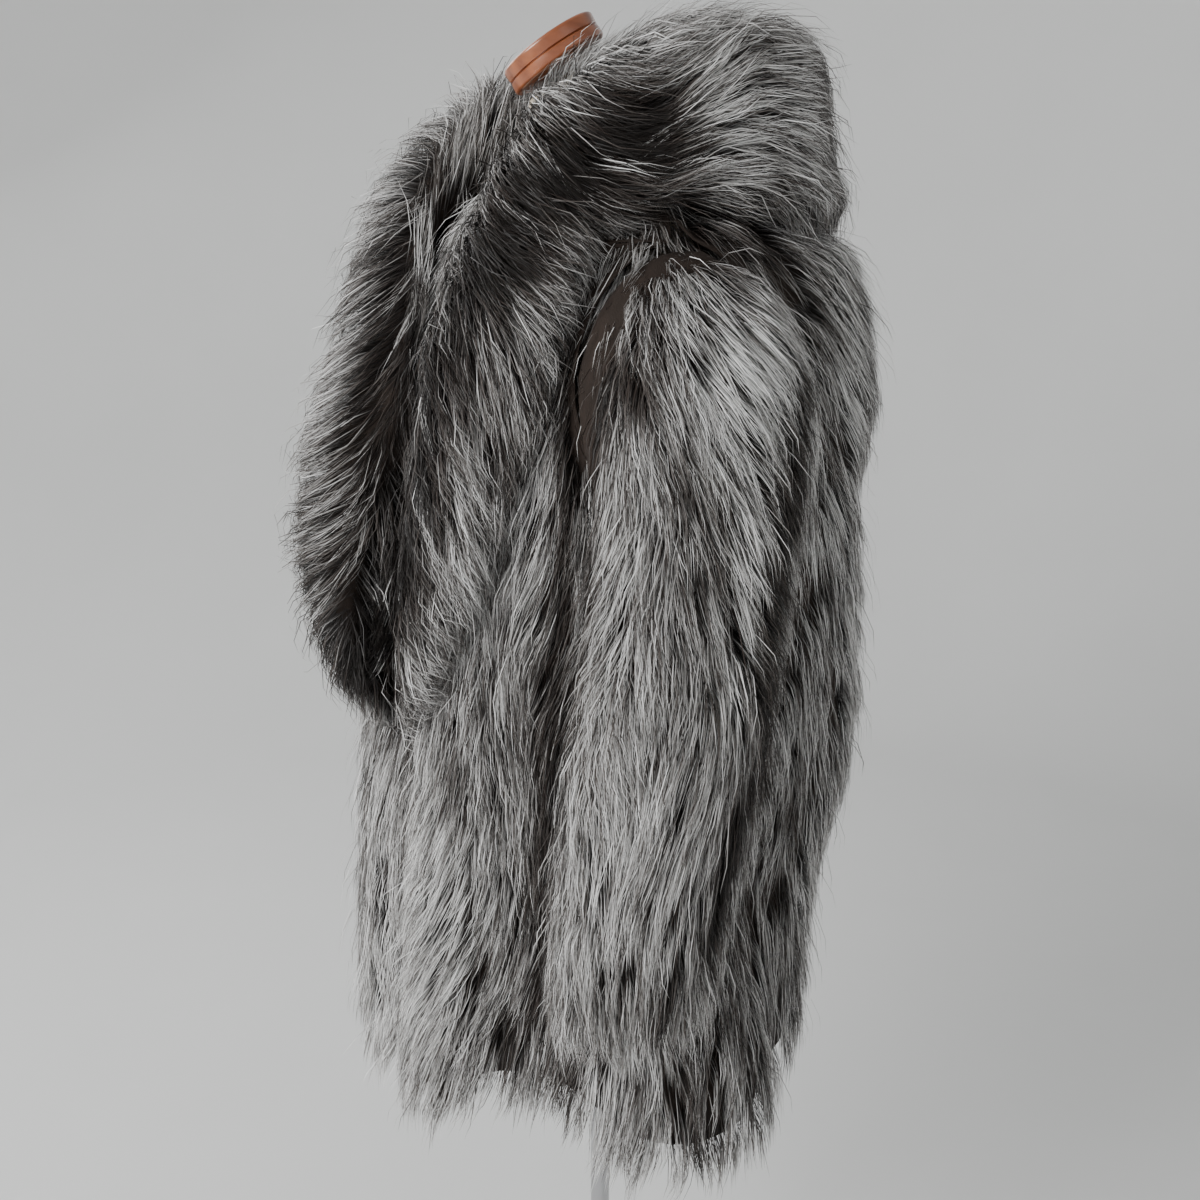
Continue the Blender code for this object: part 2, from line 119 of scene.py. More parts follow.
class Bench:
    """A material on the bench: its nodes, and the surface that they feed."""

    def __init__(self, name: str, **plain: Any) -> None:
        """Starts a material.

        Args:
            name: the material's name.
            plain: values for the surface's own sockets, with _ for a space in their names.
        """
        self.material = bpy.data.materials.new(name)
        self.material.use_nodes = True
        self.tree = self.material.node_tree
        self.surface = self.tree.nodes["Principled BSDF"]
        for key, value in plain.items():
            self.surface.inputs[key.replace("_", " ")].default_value = value

    def node(
        self, kind: str, settings: dict[str, Any], sockets: dict[Any, Any], result: Any = 0
    ) -> Wire:
        """Adds any node.

        Args:
            kind: the node's type.
            settings: its properties; "stops" are a ramp's (position, colour) pairs.
            sockets: values or links for its inputs, by name or number.
            result: the output that is returned.

        Returns:
            The chosen output.
        """
        made = self.tree.nodes.new(kind)
        for key, value in settings.items():
            if key == "stops":
                self._set_stops(made.color_ramp, value)
            else:
                setattr(made, key, value)
        for key, value in sockets.items():
            if isinstance(value, Wire):
                self.tree.links.new(value.socket, made.inputs[key])
            else:
                made.inputs[key].default_value = value
        return Wire(self, made.outputs[result])

    @staticmethod
    def _set_stops(ramp: bpy.types.ColorRamp, stops: Sequence[tuple[float, Colour]]) -> None:
        """Gives a colour ramp its stops."""
        while len(ramp.elements) < len(stops):
            ramp.elements.new(0.5)
        for element, (place, colour) in zip(ramp.elements, stops):
            element.position = place
            element.color = (*colour, 1.0)

    def mixed(self, share: Any, first: Any, second: Any) -> Wire:
        """A colour between two, by a share."""
        colours = [(*c, 1.0) if isinstance(c, tuple) else c for c in (first, second)]
        sockets = {0: share, 6: colours[0], 7: colours[1]}
        return self.node("ShaderNodeMix", {"data_type": "RGBA"}, sockets, 2)

    def place(self, stretch: Point = (1.0, 1.0, 1.0)) -> Wire:
        """The place on the object in metres, times a stretch along each axis."""
        there = self.node("ShaderNodeTexCoord", {}, {}, "Object")
        return self.node("ShaderNodeVectorMath", {"operation": "MULTIPLY"}, {0: there, 1: stretch})

    def noise(self, where: Wire, scale: float, detail: float = 3.0) -> Wire:
        """A cloudy pattern from 0 to 1."""
        sockets = {"Vector": where, "Scale": scale, "Detail": detail}
        return self.node("ShaderNodeTexNoise", {}, sockets)

    def wave(self, where: Wire, scale: float, distortion: float = 0.0) -> Wire:
        """Bands from 0 to 1 across the X axis."""
        sockets = {"Vector": where, "Scale": scale, "Distortion": distortion}
        return self.node("ShaderNodeTexWave", {"bands_direction": "X"}, sockets, "Fac")

    def feed(self, socket: str, value: Wire) -> None:
        """Links a value to one of the surface's sockets."""
        self.tree.links.new(value.socket, self.surface.inputs[socket])

    def raised(self, height: Wire, strength: float, distance: float) -> None:
        """Makes the surface stand up by a height pattern."""
        sockets = {"Height": height, "Strength": strength, "Distance": distance}
        self.feed("Normal", self.node("ShaderNodeBump", {}, sockets))


@dataclass(frozen=True)
class FurFinish:
    """Fox hair: dark at the root, then the strand's tone, read from the strand's map; the tone
    mixes the fur's own colour with painted shade and light.
    """

    name: str = "fox_hair"
    root: Colour = (0.016, 0.013, 0.012)
    tones: tuple[tuple[float, Colour], ...] = (
        (0.0, (0.010, 0.008, 0.007)),
        (0.20, (0.040, 0.029, 0.024)),
        (0.40, (0.120, 0.108, 0.100)),
        (0.66, (0.500, 0.492, 0.482)),
        (1.0, (0.900, 0.895, 0.885)),
    )
    grown: tuple[float, float] = (0.10, 0.55)
    roughness: float = 0.48

    def make(self) -> bpy.types.Material:
        """The finish as a material."""
        bench = Bench(self.name, Roughness=self.roughness, Specular_IOR_Level=0.35)
        where = bench.node("ShaderNodeUVMap", {"uv_map": STRAND_MAP}, {})
        tone = bench.node("ShaderNodeSeparateXYZ", {}, {0: where}, "X")
        along = bench.node("ShaderNodeSeparateXYZ", {}, {0: where}, "Y")
        colour = bench.node("ShaderNodeValToRGB", {"stops": self.tones}, {0: tone})
        bench.feed("Base Color", bench.mixed(along.between(*self.grown), self.root, colour))
        return bench.material


@dataclass(frozen=True)
class SkinFinish:
    """The leather side of the pelts, with dark underfur over it."""

    name: str = "pelt_leather"
    dark: Colour = (0.010, 0.008, 0.007)
    brown: Colour = (0.038, 0.026, 0.020)

    def make(self) -> bpy.types.Material:
        """The finish as a material."""
        bench = Bench(self.name, Roughness=0.85, Specular_IOR_Level=0.2)
        where = bench.place((1.0, 1.0, 0.35))
        cloudy = bench.noise(where, 60.0)
        fine = bench.noise(where, 900.0)
        bench.feed("Base Color", bench.mixed(cloudy * 0.6 + fine * 0.4, self.dark, self.brown))
        bench.raised(fine, 0.5, 0.001)
        return bench.material


@dataclass(frozen=True)
class SatinFinish:
    """Dark satin, with a fine twill and soft creases; the creases are painted darker in their
    hollows and lighter on their ridges, as painted shade and light.
    """

    name: str = "lining_satin"
    dark: Colour = (0.018, 0.015, 0.015)
    light: Colour = (0.045, 0.038, 0.037)

    def make(self) -> bpy.types.Material:
        """The finish as a material."""
        bench = Bench(self.name, Sheen_Weight=0.2, Specular_IOR_Level=0.5)
        twill = bench.wave(bench.place(), 600.0)
        crease = bench.noise(bench.place((1.0, 1.0, 0.2)), 22.0, 2.0)
        # The crease pattern also darkens the colour in the creases' hollows and lightens it on
        # their ridges: painted shade and light over the satin's own dark colour.
        bench.feed("Base Color", bench.mixed(crease, self.dark, self.light))
        bench.feed("Roughness", crease * 0.2 + 0.32)
        bench.raised(twill * 0.2 + crease, 0.4, 0.004)
        return bench.material


@dataclass(frozen=True)
class CanvasFinish:
    """Unbleached plain-woven cotton on the form."""

    name: str = "form_canvas"
    light: Colour = (0.60, 0.54, 0.44)
    shade: Colour = (0.46, 0.40, 0.31)

    def make(self) -> bpy.types.Material:
        """The finish as a material."""
        bench = Bench(self.name, Roughness=0.9, Specular_IOR_Level=0.2)
        warp = bench.wave(bench.place((1.0, 1.0, 0.0)), 420.0)
        weft = bench.wave(
            bench.node(
                "ShaderNodeVectorRotate",
                {"rotation_type": "Y_AXIS"},
                {"Vector": bench.place(), "Angle": math.pi / 2},
            ),
            420.0,
        )
        weave = warp * weft
        aged = bench.noise(bench.place(), 9.0)
        # The weave also darkens the colour between the threads: painted shade. The aged cloudiness
        # is the cotton's own uneven colour.
        bench.feed("Base Color", bench.mixed(weave * 0.5 + aged * 0.5, self.shade, self.light))
        bench.raised(weave, 0.5, 0.0008)
        return bench.material


@dataclass(frozen=True)
class VarnishFinish:
    """Reddish-brown varnished beech, with its grain."""

    name: str = "varnished_beech"
    deep: Colour = (0.16, 0.040, 0.014)
    warm: Colour = (0.42, 0.130, 0.045)

    def make(self) -> bpy.types.Material:
        """The finish as a material."""
        bench = Bench(self.name, Coat_Weight=0.7, Coat_Roughness=0.06)
        grain = bench.noise(bench.place((6.0, 1.0, 6.0)), 38.0, 6.0)
        rings = bench.wave(bench.place((1.0, 0.4, 1.0)), 16.0, 5.0)
        bench.feed("Base Color", bench.mixed(grain * 0.6 + rings * 0.4, self.deep, self.warm))
        bench.feed("Roughness", grain * 0.2 + 0.22)
        bench.raised(grain, 0.15, 0.0006)
        return bench.material


@dataclass(frozen=True)
class ChromeFinish:
    """Polished chrome with faint handling marks."""

    name: str = "polished_chrome"
    bright: Colour = (0.46, 0.46, 0.47)

    def make(self) -> bpy.types.Material:
        """The finish as a material."""
        bench = Bench(self.name, Base_Color=(*self.bright, 1.0), Metallic=1.0)
        marks = bench.noise(bench.place((1.0, 1.0, 0.3)), 90.0, 4.0)
        bench.feed("Roughness", marks * 0.12 + 0.06)
        return bench.material


@dataclass(frozen=True)
class StudioFinish:
    """Plain matt pale grey for the floor and the wall behind."""

    name: str = "studio_grey"
    pale: Colour = (0.70, 0.705, 0.70)
    faint: Colour = (0.74, 0.745, 0.74)

    def make(self) -> bpy.types.Material:
        """The finish as a material."""
        bench = Bench(self.name, Roughness=0.95, Specular_IOR_Level=0.1)
        cloudy = bench.noise(bench.place(), 3.0)
        bench.feed("Base Color", bench.mixed(cloudy, self.pale, self.faint))
        return bench.material


# ---- meshes


def unit(vectors: Array) -> Array:
    """The vectors at length 1."""
    return vectors / np.maximum(np.linalg.norm(vectors, axis=-1, keepdims=True), 1e-9)


def placed(name: str, data: Any) -> bpy.types.Object:
    """A new object in the scene."""
    thing = bpy.data.objects.new(name, data)
    bpy.context.scene.collection.objects.link(thing)
    return thing


def made_piece(name: str, mesh: Mesh, finish: bpy.types.Material) -> Any:
    """Puts a mesh in the scene as a piece of the object.

    Args:
        name: the piece's name.
        mesh: its mesh.
        finish: its material.

    Returns:
        The object, which rides on the only body.
    """
    piece = placed(name, mesh)
    mesh.materials.clear()
    mesh.materials.append(finish)
    mesh.shade_smooth()
    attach(piece, WHOLE)
    LOG.info("%s: %d faces", name, len(mesh.polygons))
    return piece


def with_modifiers(mesh: Mesh, *steps: tuple[str, dict[str, Any]]) -> Mesh:
    """The mesh after some modifiers.

    Args:
        mesh: the mesh to start from.
        steps: the type and settings of each modifier.

    Returns:
        A new mesh with the modifiers applied.
    """
    holder = placed("workpiece", mesh)
    for kind, settings in steps:
        modifier = holder.modifiers.new(kind, kind)
        for key, value in settings.items():
            setattr(modifier, key, value)
    graph = bpy.context.evaluated_depsgraph_get()
    done = bpy.data.meshes.new_from_object(holder.evaluated_get(graph))
    bpy.data.objects.remove(holder)
    return done


def turned(name: str, profile: Sequence[tuple[float, float]], **more: float) -> Mesh:
    """A mesh turned about the Z axis, from its profile of radius and height."""
    mesh = bpy.data.meshes.new(name)
    edges = [(i, i + 1) for i in range(len(profile) - 1)]
    mesh.from_pydata([(x, 0.0, z) for x, z in profile], edges, [])
    screw = {"steps": SIDES, "render_steps": SIDES, "use_merge_vertices": True, **more}
    return with_modifiers(mesh, ("SCREW", screw))


def arrays_of(mesh: Mesh) -> tuple[Array, Array, Array]:
    """A mesh's points, its vertex normals and its triangles."""
    mesh.calc_loop_triangles()
    points = np.empty(len(mesh.vertices) * 3)
    mesh.vertices.foreach_get("co", points)
    normals = np.empty(len(mesh.vertices) * 3)
    mesh.vertex_normals.foreach_get("vector", normals)
    corners = np.empty(len(mesh.loop_triangles) * 3, int)
    mesh.loop_triangles.foreach_get("vertices", corners)
    return points.reshape(-1, 3), normals.reshape(-1, 3), corners.reshape(-1, 3)


class Side(Enum):
    """The wearer's side that a piece is on."""

    LEFT = 1
    RIGHT = -1
    BOTH = 0


class Lay(Enum):
    """The way a piece's fur is laid."""

    BODY = "body"
    SLEEVE = "sleeve"
    COLLAR = "collar"


@dataclass
class Surface:
    """The fur side of a CAD wall, without its seams and its leather side."""

    mesh: Mesh
    hem: Array

    HEM_BAND = 0.075
    HANGS_BY = 0.002
    SMOOTH = math.radians(50)
    OFF_BODY = 0.03
    FACES_BODY = -0.3

    @classmethod
    def of_node(cls, node: Any, lay: Lay, body: BVHTree | None) -> Surface:
        """Takes the outer side of a wall.

        Args:
            node: the CAD node.
            lay: how its fur is laid, which says where its outer side is.
            body: the body's outer surface, under a collar.

        Returns:
            The outer side, welded, with the points of its hanging edge.
        """
        work = bmesh.new()
        work.from_mesh(node.data)
        bmesh.ops.remove_doubles(work, verts=work.verts, dist=WELD)
        work.normal_update()
        kept = cls._collar_faces(work, body) if lay is Lay.COLLAR else cls._faces(work, lay)
        gone = [f for f in work.faces if f not in kept]
        bmesh.ops.delete(work, geom=gone, context="FACES")
        loose = [v for v in work.verts if not v.link_faces]
        bmesh.ops.delete(work, geom=loose, context="VERTS")
        low = min(v.co.z for v in work.verts) + cls.HEM_BAND
        edge = [] if lay is Lay.COLLAR else work.verts
        edge = [v for v in edge if v.is_boundary and v.co.z < low]
        hem = np.array([v.co[:] for v in edge if cls._hangs(v)]).reshape(-1, 3)
        mesh = bpy.data.meshes.new(node.name + "_outer")
        work.to_mesh(mesh)
        work.free()
        return cls(mesh, hem)

    @staticmethod
    def _hangs(vertex: bmesh.types.BMVert) -> bool:
        """Whether a point of an edge has no face below it."""
        centres = [f.calc_center_median().z for f in vertex.link_faces]
        return min(centres) > vertex.co.z + Surface.HANGS_BY

    @staticmethod
    def _faces(work: bmesh.types.BMesh, lay: Lay) -> set[bmesh.types.BMFace]:
        """The faces that join smoothly to the furthest one out."""

        def out(face: bmesh.types.BMFace) -> float:
            centre = face.calc_center_median()
            if lay is Lay.SLEEVE:
                return centre.x * face.normal.x
            return centre.x * face.normal.x + centre.y * face.normal.y

        seed = max(work.faces, key=out)
        kept = {seed}
        queue = [seed]
        while queue:
            face = queue.pop()
            for edge in face.edges:
                for other in edge.link_faces:
                    turn = face.normal.angle(other.normal, math.pi)
                    if other not in kept and turn < Surface.SMOOTH:
                        kept.add(other)
                        queue.append(other)
        return kept

    @staticmethod
    def _collar_faces(work: bmesh.types.BMesh, body: BVHTree) -> set[bmesh.types.BMFace]:
        """The faces of a collar that don't lie on the body."""
        kept = set()
        for face in work.faces:
            _, facing, _, distance = body.find_nearest(face.calc_center_median())
            if distance > Surface.OFF_BODY or face.normal.dot(facing) > Surface.FACES_BODY:
                kept.add(face)
        return kept

    def finer(self, levels: int) -> Mesh:
        """The surface with its facets rounded off."""
        steps = {"levels": levels, "render_levels": levels, "boundary_smooth": "PRESERVE_CORNERS"}
        return with_modifiers(self.mesh, ("SUBSURF", steps))

    def above_hem(self, places: Array) -> Array:
        """How far places are above the hanging edge under them, in metres."""
        if not len(self.hem):
            return np.full(len(places), np.inf)
        apart = np.linalg.norm(places[:, None, :2] - self.hem[None, :, :2], axis=2)
        return places[:, 2] - self.hem[apart.argmin(axis=1), 2]


def drift(places: Array, seed: int, scale: float, upright: float = 0.4) -> Array:
    """A smooth pattern between about -1 and 1.

    Args:
        places: points on the coat.
        seed: which pattern.
        scale: the size of its patches in metres.
        upright: how little it changes along the height.

    Returns:
        A value for each place.
    """
    rng = np.random.default_rng(seed)
    waves = rng.normal(size=(7, 3)) / scale * np.array((1.0, 1.0, upright))
    phases = rng.uniform(0, 2 * math.pi, 7)
    return np.sin(places @ waves.T + phases).mean(axis=1) * 2.0


# ---- the way the fur lies


@dataclass(frozen=True)
class Sweep:
    """A place where the fur leans towards the back of the coat, in degrees from straight down."""

    at: Point
    reach: float
    lean: float

    def on(self, places: Array) -> Array:
        """The lean that it adds at some places."""
        apart = np.linalg.norm(places - self.at, axis=1) / self.reach
        return self.lean * np.exp(-(apart**2))


@dataclass(frozen=True)
class Dab:
    """A darker or paler place in the fur."""

    at: Point
    reach: Point
    tone: float

    def on(self, places: Array) -> Array:
        """The tone that it adds at some places."""
        apart = np.linalg.norm((places - self.at) / self.reach, axis=1)
        return self.tone * np.exp(-(apart**2))


@dataclass(frozen=True)
class Stripe:
    """A darker or paler band along a line of points."""

    line: tuple[Point, ...]
    width: float
    tone: float

    def on(self, places: Array) -> Array:
        """The tone that it adds at some places."""
        nearest = np.full(len(places), np.inf)
        for start, end in zip(self.line, self.line[1:]):
            a, b = np.array(start), np.array(end)
            share = np.clip((places - a) @ (b - a) / ((b - a) @ (b - a)), 0, 1)
            apart = np.linalg.norm(places - (a + share[:, None] * (b - a)), axis=1)
            nearest = np.minimum(nearest, apart)
        return self.tone * np.exp(-((nearest / self.width) ** 2))


SWEEPS: dict[Lay, tuple[Sweep, ...]] = {
    Lay.BODY: (
        Sweep((0.15, 0.15, 1.38), 0.12, 38.0),
        Sweep((0.1, 0.25, 1.2), 0.12, 24.0),
        Sweep((0.12, -0.18, 0.8), 0.16, -9.0),
        Sweep((0.16, 0.1, 0.84), 0.05, -28.0),
        Sweep((0.24, 0.05, 0.62), 0.09, -14.0),
        Sweep((0.1, 0.24, 0.95), 0.1, 12.0),
    ),
    Lay.SLEEVE: (
        Sweep((0.295, 0.04, 1.32), 0.085, 40.0),
        Sweep((0.24, -0.04, 1.38), 0.06, 8.0),
        Sweep((0.265, -0.09, 1.15), 0.09, -20.0),
        Sweep((0.3, 0.02, 1.1), 0.09, 12.0),
        Sweep((0.31, -0.06, 0.95), 0.07, -7.0),
        Sweep((0.3, -0.05, 0.82), 0.07, -10.0),
    ),
    Lay.COLLAR: (
        Sweep((0.175, 0.02, 1.54), 0.075, 34.0),
        Sweep((0.11, -0.18, 1.15), 0.13, -38.0),
        Sweep((0.15, -0.14, 1.33), 0.08, -16.0),
        Sweep((0.0, -0.25, 1.15), 0.08, 40.0),
    ),
}

COLLAR_TURNS = (0.0, 22.0, 45.0, 70.0, 95.0, 125.0, 155.0, 180.0)
COLLAR_LEANS = (30.0, 46.0, 52.0, 62.0, 88.0, 76.0, 40.0, 8.0)

DABS: dict[Lay, tuple[Dab, ...]] = {
    Lay.BODY: (
        # Body fur between the collar's lower edge and the top of the sleeve is painted darker:
        # painted shade in the crevice under the collar.
        Dab((0.181, 0.077, 1.4), (0.05, 0.06, 0.03), -0.34),
        Dab((0.188, 0.01, 1.412), (0.04, 0.07, 0.026), -0.3),
        Dab((0.24, -0.004, 0.66), (0.014, 0.014, 0.05), -0.34),
        Dab((0.154, -0.13, 1.227), (0.014, 0.014, 0.06), -0.34),
        Dab((0.01, -0.197, 0.949), (0.012, 0.012, 0.03), -0.34),
        Dab((0.126, -0.179, 0.73), (0.012, 0.012, 0.045), -0.4),
        Dab((0.142, -0.152, 0.672), (0.012, 0.012, 0.04), -0.5),
        Dab((0.122, -0.201, 0.641), (0.012, 0.012, 0.05), -0.34),
        Dab((0.168, -0.111, 0.659), (0.03, 0.03, 0.06), -0.2),
        Dab((0.177, 0.076, 0.799), (0.02, 0.02, 0.04), -0.36),
        Dab((0.146, 0.14, 0.775), (0.02, 0.02, 0.045), -0.36),
        Dab((0.147, 0.143, 0.865), (0.02, 0.02, 0.03), -0.32),
        Dab((0.24, 0.02, 0.671), (0.014, 0.014, 0.03), -0.34),
        Dab((0.225, 0.062, 0.687), (0.014, 0.014, 0.03), -0.32),
        Dab((0.23, 0.083, 0.621), (0.016, 0.016, 0.03), -0.34),
        Dab((0.25, 0.004, 0.596), (0.04, 0.04, 0.014), -0.3),
        Dab((0.102, 0.242, 0.969), (0.06, 0.05, 0.11), 0.16),
        Dab((0.165, 0.11, 0.835), (0.03, 0.03, 0.016), 0.2),
        Dab((0.1, -0.19, 0.83), (0.05, 0.05, 0.12), 0.08),
        Dab((0.115, -0.152, 1.114), (0.03, 0.03, 0.09), 0.06),
        Dab((0.13, -0.14, 1.33), (0.03, 0.03, 0.06), -0.25),
    ),
    Lay.SLEEVE: (
        Dab((0.295, 0.025, 1.31), (0.04, 0.055, 0.055), 0.32),
        Dab((0.24, 0.05, 1.395), (0.05, 0.05, 0.025), -0.28),
        Dab((0.27, -0.075, 1.3), (0.03, 0.03, 0.03), -0.32),
        Dab((0.265, -0.05, 1.355), (0.016, 0.016, 0.02), -0.26),
        Dab((0.287, -0.066, 1.285), (0.014, 0.014, 0.02), -0.3),
        Dab((0.23, -0.1, 1.25), (0.03, 0.026, 0.08), -0.26),
        Dab((0.29, -0.05, 0.8), (0.04, 0.05, 0.03), -0.06),
        Dab((0.3, 0.06, 1.1), (0.04, 0.03, 0.2), -0.1),
    ),
    Lay.COLLAR: (
        Dab((0.178, 0.035, 1.515), (0.05, 0.08, 0.03), 0.14),
        Dab((0.165, 0.12, 1.5), (0.05, 0.07, 0.06), 0.14),
        Dab((0.175, -0.015, 1.56), (0.04, 0.05, 0.03), 0.16),
        Dab((0.18, 0.0, 1.435), (0.03, 0.11, 0.012), -0.22),
        Dab((0.03, -0.29, 1.06), (0.06, 0.06, 0.06), -0.34),
        Dab((0.04, -0.28, 1.23), (0.04, 0.04, 0.03), -0.16),
    ),
}

DORSAL = (
    (0.178, -0.01, 1.5),
    (0.173, -0.071, 1.463),
    (0.181, -0.11, 1.44),
    (0.172, -0.128, 1.404),
    (0.145, -0.153, 1.366),
    (0.116, -0.172, 1.324),
    (0.098, -0.186, 1.27),
    (0.092, -0.192, 1.184),
    (0.078, -0.207, 1.11),
    (0.03, -0.222, 1.02),
)
CENTRE = (
    (0.02, -0.185, 1.36),
    (0.005, -0.204, 1.26),
    (0.02, -0.206, 1.18),
    (0.025, -0.222, 1.02),
)
PARTINGS = (
    ((0.14, -0.155, 0.664), (0.006, 0.008, 0.028)),
    ((0.126, -0.179, 0.722), (0.005, 0.006, 0.022)),
)
RIDGE = ((0.15, -0.08, 1.51), (0.146, -0.105, 1.485), (0.118, -0.153, 1.42))
# Lines along the valleys where the body meets the sleeve at front and back; the body's fur is
# painted darker along them: painted shade between body and sleeve.
FRONT_VALLEY = (
    (0.163, -0.088, 1.33),
    (0.159, -0.089, 1.205),
    (0.155, -0.097, 1.083),
    (0.148, -0.104, 0.94),
    (0.14, -0.11, 0.78),
    (0.15, -0.123, 0.7),
)
BACK_VALLEY = (
    (0.16, 0.15, 1.34),
    (0.172, 0.09, 1.2),
    (0.17, 0.09, 1.0),
    (0.18, 0.06, 0.75),
)
# Lines along the sleeve's front and back edges beside the body; the sleeve's fur is painted darker
# along them: painted shade between sleeve and body.
SLEEVE_FRONT = ((0.238, -0.096, 1.28), (0.236, -0.116, 1.1), (0.24, -0.122, 0.86))
SLEEVE_BACK = (
    (0.27, 0.082, 1.29),
    (0.29, 0.062, 1.234),
    (0.302, 0.04, 1.128),
    (0.296, 0.038, 1.018),
    (0.303, 0.014, 0.931),
    (0.3, 0.002, 0.835),
)
STRIPES: dict[Lay, tuple[Stripe, ...]] = {
    Lay.BODY: (
        # Painted shade along the valleys where the body meets the sleeve.
        Stripe(FRONT_VALLEY, 0.011, -0.5),
        Stripe(BACK_VALLEY, 0.024, -0.36),
    ),
    # Painted shade along the sleeve's edges next to the body.
    Lay.SLEEVE: (Stripe(SLEEVE_FRONT, 0.026, -0.5), Stripe(SLEEVE_BACK, 0.016, -0.7)),
    Lay.COLLAR: (
        Stripe(DORSAL, 0.036, -0.74),
        Stripe(CENTRE, 0.032, -0.6),
        Stripe(RIDGE, 0.008, 0.66),
    ),
}
BASE_TONES = {Lay.BODY: 0.67, Lay.SLEEVE: 0.68, Lay.COLLAR: 0.60}


@dataclass(frozen=True)
class Coverage:
    """How the fur of one piece lies and how dark it is, from place to place."""

    lay: Lay
    side: Side
    seed: int
    wander: float = 15.0
    patch: float = 0.055

    RIGHT_SHIFT = (0.0, 0.012, -0.016)
    FINE_WANDER = 0.35
    FALLS_OVER = 0.9
    FACES_IN = -0.3
    FOLD_SIZE = 0.024
    STREAK_SIZE = 0.013
    UPRIGHT = 0.22

    def _as_left(self, places: Array) -> Array:
        """The places as if on the wearer's left, a little off on the other side."""
        moved = places.copy()
        moved[:, 0] = np.abs(moved[:, 0])
        right = places[:, 0] < 0
        moved[right] += self.RIGHT_SHIFT
        return moved

    def lean(self, places: Array) -> Array:
        """The lean from straight down, in degrees."""
        left = self._as_left(places)
        total = sum(sweep.on(left) for sweep in SWEEPS[self.lay])
        if self.lay is Lay.COLLAR:
            turns = np.degrees(np.arctan2(left[:, 0], -left[:, 1]))
            total = total + np.interp(turns, COLLAR_TURNS, COLLAR_LEANS)
        wide = self.wander * drift(places, self.seed, self.patch, 0.8)
        fine = self.FINE_WANDER * self.wander * drift(places, self.seed + 1, 0.02, 0.6)
        return total + wide + fine

    def way(self, places: Array, normals: Array) -> Array:
        """The direction along the surface that the hair runs in."""
        radial = unit(places * (1.0, 1.0, 0.0))
        turned = radial if self.lay is not Lay.SLEEVE else unit(normals * (1.0, 1.0, 0.0))
        sign = np.where(places[:, :1] >= 0, 1.0, -1.0)
        if self.side is not Side.BOTH:
            sign = np.full_like(sign, self.side.value)
        backward = np.cross(UP, turned) * sign
        lean = np.radians(self.lean(places))[:, None]
        run = -UP * np.cos(lean) + backward * np.sin(lean)
        run = run + radial * np.maximum(normals[:, 2:], 0.0) * self.FALLS_OVER
        if self.lay is Lay.COLLAR:
            inward = np.einsum("ij,ij->i", normals, radial) < self.FACES_IN
            run[inward] = (UP * 0.9 + backward * 0.3)[inward]
        run = run - normals * np.einsum("ij,ij->i", run, normals)[:, None]
        return unit(run)

    def tone(self, places: Array) -> Array:
        """The tone of the fur, from 0, nearly black, to 1, pale silver, with painted shade and
        light mixed in where the parts meet and on the folds of the pile.
        """
        left = self._as_left(places)
        marks = (*DABS[self.lay], *STRIPES[self.lay])
        total = BASE_TONES[self.lay] + sum(mark.on(left) for mark in marks)
        streak = drift(places, self.seed + 7, self.STREAK_SIZE, self.UPRIGHT)
        streak = np.clip(streak - 0.45, 0.0, 0.6)
        # Hair on the raised folds of the pile is painted a little paler and in their hollows
        # darker: painted light and shade on the folds.
        return total + 0.12 * self.relief(places) - 0.40 * streak

    def relief(self, places: Array) -> Array:
        """Where the pile stands up or lies down, from -1 to 1, in long upright folds."""
        return drift(places, self.seed + 5, self.FOLD_SIZE, self.UPRIGHT)


# ---- pelts


@dataclass
class Pile:
    """The hair of a pelt: how much of it, how long, and how it gathers in locks."""

    strands: int
    length: float = 0.072
    depth: float = 0.0205
    lock_strands: int = 15
    lock_width: float = 0.0105
    clumping: float = 0.62
    curl: float = 0.0034
    hook: float = 0.0016
    lift: float = -0.003
    fold: float = 0.0060
    dark_share: float = 0.27
    pale_share: float = 0.12
    pale_by: float = 0.26
    silver_locks: float = 0.0
    stray_share: float = 0.035
    half_widths: tuple[float, float, float] = (0.00028, 0.00038, 0.00027)
    steps: int = 4

    LENGTHS = (0.82, 1.12)
    ENDS = (0.66, 1.08)
    HEM_ROOM = (-0.002, 0.020)
    SHORTEST = 0.024
    SCATTER = 0.55
    WIDEST = 1.5
    LIFT_SPREAD = 0.0018
    EDGE_DROP = 0.0016
    STRAY_LIFT = (0.004, 0.020)
    STRAY_CLUMPING = 0.15
    TWIST = 1.1
    WAVES = 5.2
    FULLNESS = 0.8
    DARK_BY = -0.36
    SILVER = 0.70
    PARTED_SHARE = 0.9


